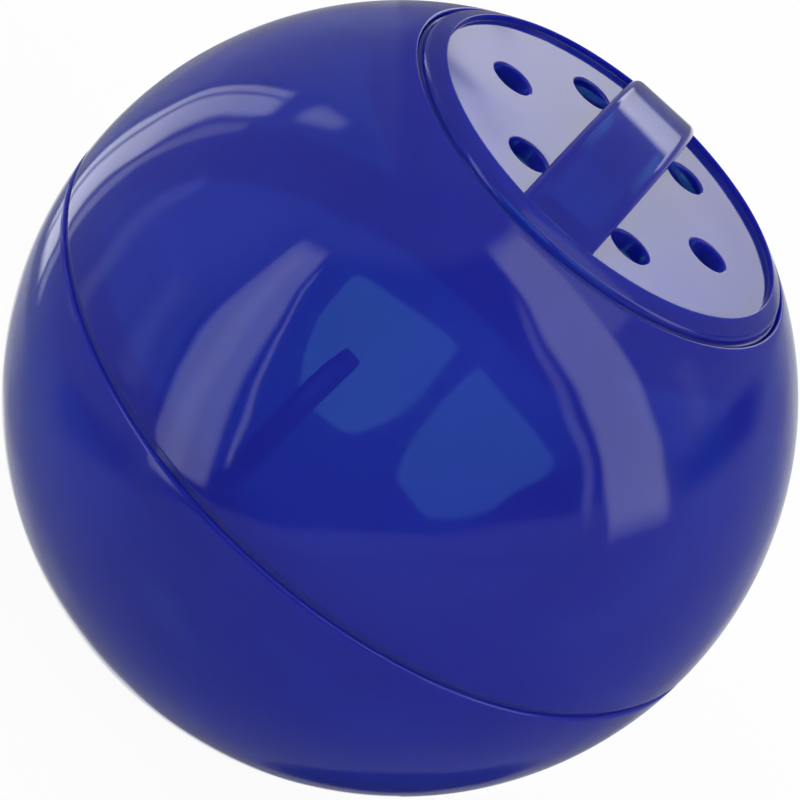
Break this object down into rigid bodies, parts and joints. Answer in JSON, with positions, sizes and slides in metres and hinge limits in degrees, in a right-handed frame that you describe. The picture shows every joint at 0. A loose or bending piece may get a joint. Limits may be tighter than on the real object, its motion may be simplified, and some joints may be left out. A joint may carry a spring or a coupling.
{
  "type": "treat dispensing ball",
  "caption": "Hollow pet treat ball of see-through plastic: two half shells, a round filling cap with air holes and a grip, and a turning inner shutter over its windows.",
  "frame": {"origin": "centre of the ball", "axes": "+Z along the filling cap's axis, out of the ball; +Y towards the side that the lower half's windows face; the cap's grip runs along Y"},
  "size_m": [0.076, 0.076, 0.076],
  "materials": {
    "shell": "gloss, see-through deep blue polypropylene",
    "cage": "satin, see-through deep blue polypropylene",
    "cap": "gloss, see-through deep blue polypropylene"
  },
  "bodies": {
    "shells": {"lower_shell": "shell", "upper_shell": "shell"},
    "cage": {"dosing_cage": "cage"},
    "cap": {"cap": "cap"}
  },
  "joints": [
    {"name": "dose_turn", "type": "hinge", "parent": "shells", "child": "cage", "pos_m": [0, 0, 0], "axis": [0, 0, 1], "range_deg": [0, 60]},
    {"name": "cap_lift", "type": "slide", "parent": "cage", "child": "cap", "axis": [0, 0, 1], "range_m": [0, 0.02]}
  ]
}
